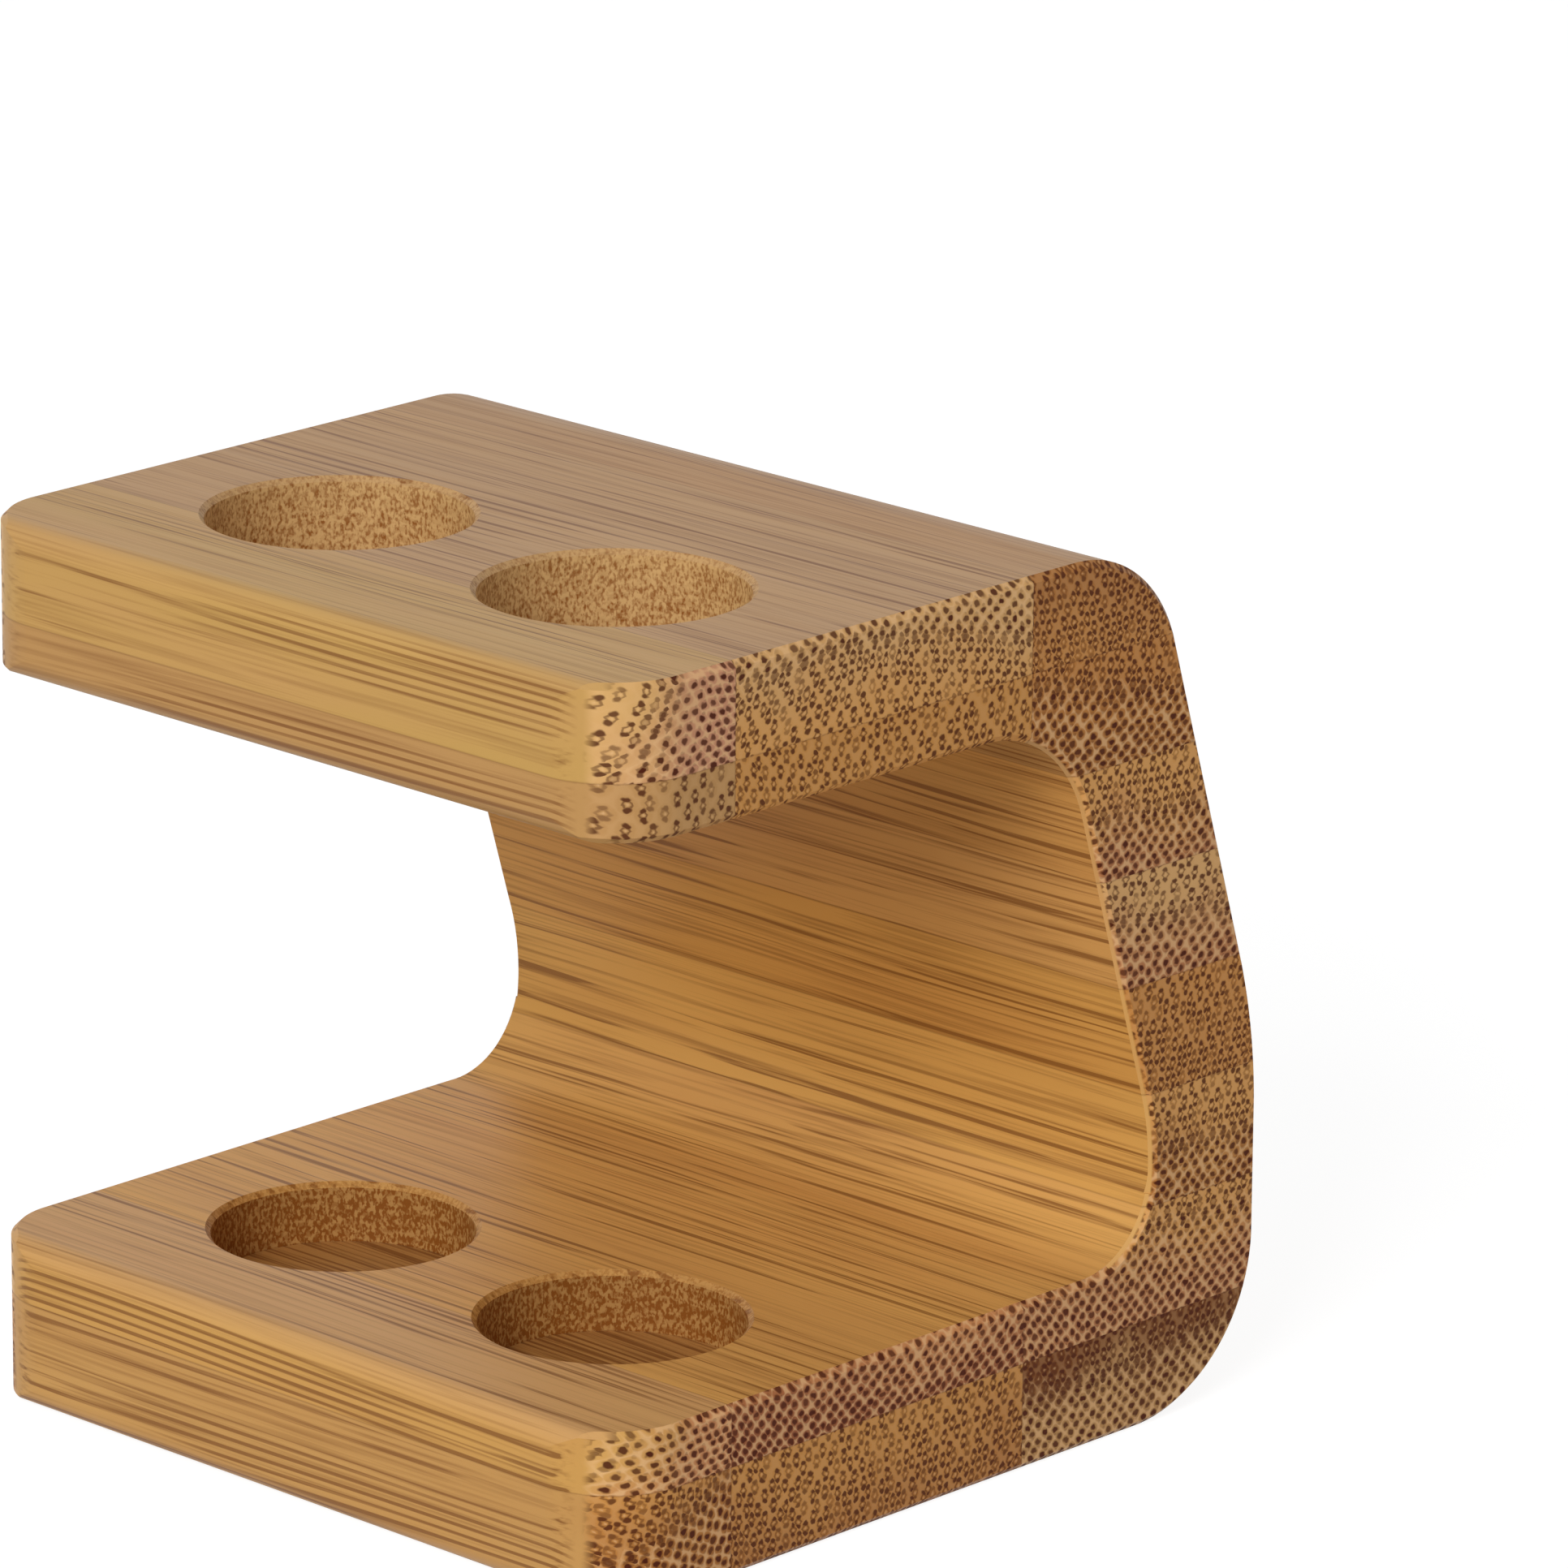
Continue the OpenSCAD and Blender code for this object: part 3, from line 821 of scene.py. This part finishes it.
# %% A dark hair at each joint
hair_edge, hair_heart, hair_strength, raggedness = 0.17, 0.06, 0.35, 0.16
above = add(grain, "VectorMath", {0: millimetres, 1: given["Joints below"]}, operation="SUBTRACT").outputs[0]
below = add(grain, "VectorMath", {0: given["Joints above"], 1: millimetres}, operation="SUBTRACT").outputs[0]
nearest = add(grain, "VectorMath", {0: above, 1: below}, operation="MINIMUM").outputs[0]
gaps = add(grain, "SeparateXYZ", {0: nearest}).outputs
to_joint = add(grain, "Math", {0: gaps["Y"], 1: gaps["Z"]}, operation="MINIMUM").outputs[0]
broken = add(grain, "Math", {0: fibres, 1: raggedness, 2: to_joint}, operation="MULTIPLY_ADD").outputs[0]
glue = add(
    grain,
    "MapRange",
    {"Value": broken, "From Min": hair_edge, "From Max": hair_heart, "To Max": hair_strength},
    interpolation_type="SMOOTHSTEP",
).outputs[0]
colour = add(grain, "Mix", {0: glue, 6: wood_colour, 7: linear(umber)}, data_type="RGBA").outputs[2]
print("nodes so far:", len(grain.nodes))

# %% [markdown]
# ## Relief and gloss
#
# Sanding wears the soft ground a little deeper than the caps, and the cut vessels stay
# open as pores, like the pits of a torn wall. The oil sinks into them and dries matt,
# while the ground between keeps a satin gloss.

# %% Height, roughness and the group's results
pore_depth, fibre_relief, ground_level = 0.5, 0.35, 0.5
satin_roughness, fibre_roughness, pore_roughness = 0.34, 0.2, 0.2
end_pores = add(grain, "Math", {0: dark, 1: end_share}, operation="MULTIPLY").outputs[0]
pores = add(grain, "Mix", {0: bored, 2: end_pores, 3: torn}, data_type="FLOAT").outputs[0]
relief = add(
    grain, "Math", {0: fibres, 1: fibre_relief, 2: ground_level}, operation="MULTIPLY_ADD"
).outputs[0]
height = add(grain, "Math", {0: pores, 1: -pore_depth, 2: relief}, operation="MULTIPLY_ADD").outputs[0]
satin = add(
    grain, "Math", {0: fibres, 1: fibre_roughness, 2: satin_roughness}, operation="MULTIPLY_ADD"
).outputs[0]
roughness = add(
    grain, "Math", {0: pores, 1: pore_roughness, 2: satin}, operation="MULTIPLY_ADD"
).outputs[0]
add(grain, "NodeGroupOutput", {"Color": colour, "Roughness": roughness, "Height": height})
print("nodes in the group:", len(grain.nodes))

# %% [markdown]
# ## A material for each strip
#
# The record names five kinds of bamboo by tone. A strip's material is that kind with
# the strip's own grain: steamed bamboo, planed, glued, sanded through the grits and
# wiped with clear oil. Oiled wood has an index of refraction of about 1.5, but the oil
# sinks in and leaves no film, so the gloss is weak. The relief is 0.02 mm deep.


# %% Materials
def joint_at(joints, face, none):
    """The glue joint that a strip's face lies on, or a place too far off to show."""
    return next((joint for joint in joints if abs(joint - face) < 0.1), none)


far_away = 1000
phase_steps = (7.3, 3.1, 5.7)
relief_depth, relief_strength = 0.02 / 1000, 0.6
oil_ior, oil_gloss = 1.5, 0.15
slots = {row["node"]: row["material_slot"] for row in frame["record"]["subparts"]}
for number, (name, strip) in enumerate(sorted(lay_up.items())):
    low, high = boxes[name]
    material = bpy.data.materials.new(slots[name].replace("_", " ") + ", " + name.replace("_", " "))
    material.use_nodes = True
    tree = material.node_tree
    tree.nodes.clear()
    wood = add(tree, "Group")
    wood.node_tree = grain
    for title, value in {
        "Pith": (0, *strip.pith),
        "Skin": strip.to_skin,
        "Joints below": (
            -far_away,
            joint_at(upright_joints, low.y, -far_away),
            joint_at(flat_joints, low.z, -far_away),
        ),
        "Joints above": (
            far_away,
            joint_at(upright_joints, high.y, far_away),
            joint_at(flat_joints, high.z, far_away),
        ),
        "Phase": [step * number for step in phase_steps],
        "Wall": strip.wall,
        "Spacing": strip.spacing,
        "Rows": strip.rows,
        "Thinning": strip.thinning,
        "Turned": strip.turned,
        "Rings to": strip.rings_to,
        "Browned": strip.browned,
        "Streaks": strip.streaks,
        "Wall darkening": strip.wall_darkening,
        "Painted sheen": strip.painted_sheen,
        "Pith tone": linear(strip.pith_tone),
        "Skin tone": linear(strip.skin_tone),
        "Long tone": linear(strip.along),
    }.items():
        wood.inputs[title].default_value = value
    bump = add(
        tree,
        "Bump",
        {"Height": wood.outputs["Height"], "Strength": relief_strength, "Distance": relief_depth},
    )
    surface = add(
        tree,
        "BsdfPrincipled",
        {
            "Base Color": wood.outputs["Color"],
            "Roughness": wood.outputs["Roughness"],
            "Normal": bump.outputs["Normal"],
            "IOR": oil_ior,
            "Specular IOR Level": oil_gloss,
        },
    )
    add(tree, "OutputMaterial", {"Surface": surface.outputs["BSDF"]})
    strips[name].material_slots[0].material = material
print(len({strip.material_slots[0].material.name for strip in strips.values()}), "materials of bamboo")

# %% [markdown]
# ## The camera
#
# The photograph looks down by 17 degrees onto the front right corner, through a long
# lens from 0.6 m. The camera stands back from a point on its own axis, turned by the
# azimuth, the elevation and a slight roll. Angles, place and lens were fitted to edges,
# glue lines and hole rims.


# %% Camera
def heading(azimuth, elevation):
    """The direction at an azimuth, counted from the front to the right, and an elevation."""
    flat = math.cos(elevation)
    return Vector((math.sin(azimuth) * flat, -math.cos(azimuth) * flat, math.sin(elevation)))


azimuth, elevation, roll = math.radians(43.746), math.radians(16.868), math.radians(0.404)
aim = Vector((5.449, 7.603, 34.879)) / 1000
distance = 0.597383
backward = heading(azimuth, elevation)
level = Vector((0, 0, 1)).cross(backward).normalized()
upward = backward.cross(level)
right = level * math.cos(roll) + upward * math.sin(roll)
top = upward * math.cos(roll) - level * math.sin(roll)
turn = Matrix((right, top, backward)).transposed()
camera = bpy.data.objects.new("Camera", bpy.data.cameras.new("Camera"))
camera.data.sensor_width = 36
camera.data.lens = 248.47
camera.data.clip_start, camera.data.clip_end = 0.05, 20
camera.matrix_world = Matrix.Translation(aim + backward * distance) @ turn.to_4x4()
bpy.context.scene.collection.objects.link(camera)
bpy.context.scene.camera = camera
print("camera at", [round(v, 4) for v in camera.matrix_world.translation])

# %% [markdown]
# ## A white table and a white room
#
# The photograph has the pure white ground of a shop picture. The table is a large
# white sheet, a hair below the holder so that no two faces lie in one plane. The
# camera, and anything glossy, sees it and the room as white by their own light, while
# the wood is lit by the plain level that is set here. The table also takes light, so
# that the holder's shadow stays on it, faint as under a tent of light.


# %% Table
def seen_directly(tree):
    """A value of 1 for rays of the camera, of gloss or through glass, and 0 for all others."""
    rays = add(tree, "LightPath").outputs
    seen = add(
        tree, "Math", {0: rays["Is Camera Ray"], 1: rays["Is Glossy Ray"]}, operation="MAXIMUM"
    ).outputs[0]
    return add(tree, "Math", {0: seen, 1: rays["Is Transmission Ray"]}, operation="MAXIMUM").outputs[0]


table = bpy.data.objects.new("Table", bpy.data.meshes.new("Table"))
half_side, hair = 3, 0.02 / 1000
corners = [(x * half_side, y * half_side, -hair) for x, y in ((-1, -1), (1, -1), (1, 1), (-1, 1))]
table.data.from_pydata(corners, [], [(0, 1, 2, 3)])
bpy.context.scene.collection.objects.link(table)
table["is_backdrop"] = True
sheet = bpy.data.materials.new("White paper sheet")
sheet.use_nodes = True
tree = sheet.node_tree
tree.nodes.clear()
seen = seen_directly(tree)
paper, faint, own_light = "#e8e8e8", "#8c8c8c", 0.88
lit = add(tree, "BsdfDiffuse", {"Color": linear(paper)})
lit_faintly = add(tree, "BsdfDiffuse", {"Color": linear(faint)})
shining = add(tree, "Emission", {"Color": linear("#ffffff"), "Strength": own_light})
shown = add(tree, "AddShader", {0: lit_faintly.outputs[0], 1: shining.outputs[0]})
both = add(tree, "MixShader", {0: seen, 1: lit.outputs[0], 2: shown.outputs[0]})
add(tree, "OutputMaterial", {"Surface": both.outputs[0]})
table.data.materials.append(sheet)
print("table of", 2 * half_side, "m a side")

# %% Room
room = bpy.data.worlds.new("White room")
bpy.context.scene.world = room
room.use_nodes = True
tree = room.node_tree
tree.nodes.clear()
seen = seen_directly(tree)
room_level = 0.355
room_strength = add(tree, "MapRange", {"Value": seen, "To Min": room_level, "To Max": 1.0}).outputs[0]
walls = add(tree, "Background", {"Color": linear("#ffffff"), "Strength": room_strength})
add(tree, "OutputWorld", {"Surface": walls.outputs[0]})
print("room level", room_level)

# %% [markdown]
# ## The lamp
#
# One large soft lamp stands to the front right and high, so the front faces are the
# brightest, the top comes next and the right end is in half light. Its power is set
# by the light that a white face square to it would send back.


# %% The lamp
def soft_lamp(name, azimuth, elevation, distance, side, level):
    """A square lamp that lights a white face at the origin, square to it, to a level where 1 is white."""
    out = heading(math.radians(azimuth), math.radians(elevation))
    lamp = bpy.data.objects.new(name, bpy.data.lights.new(name, "AREA"))
    lamp.data.size = side
    lamp.data.energy = level * math.pi**2 * distance**2
    lamp.location = out * distance + holder_middle
    lamp.rotation_mode = "QUATERNION"
    lamp.rotation_quaternion = out.to_track_quat("Z", "Y")
    bpy.context.scene.collection.objects.link(lamp)
    print(name, "at", [round(v, 2) for v in lamp.location], "m,", round(lamp.data.energy, 2), "W")


holder_middle = Vector((0, 0, 0.025))
soft_lamp("Key lamp", azimuth=21, elevation=30, distance=1, side=0.45, level=0.62)

# %% The view, kept plain
bpy.context.scene.view_settings.view_transform = "Standard"

# %% Size, kept for comparing
low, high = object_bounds()
print("box in mm", [round(1000 * (b - a), 2) for a, b in zip(low, high)])
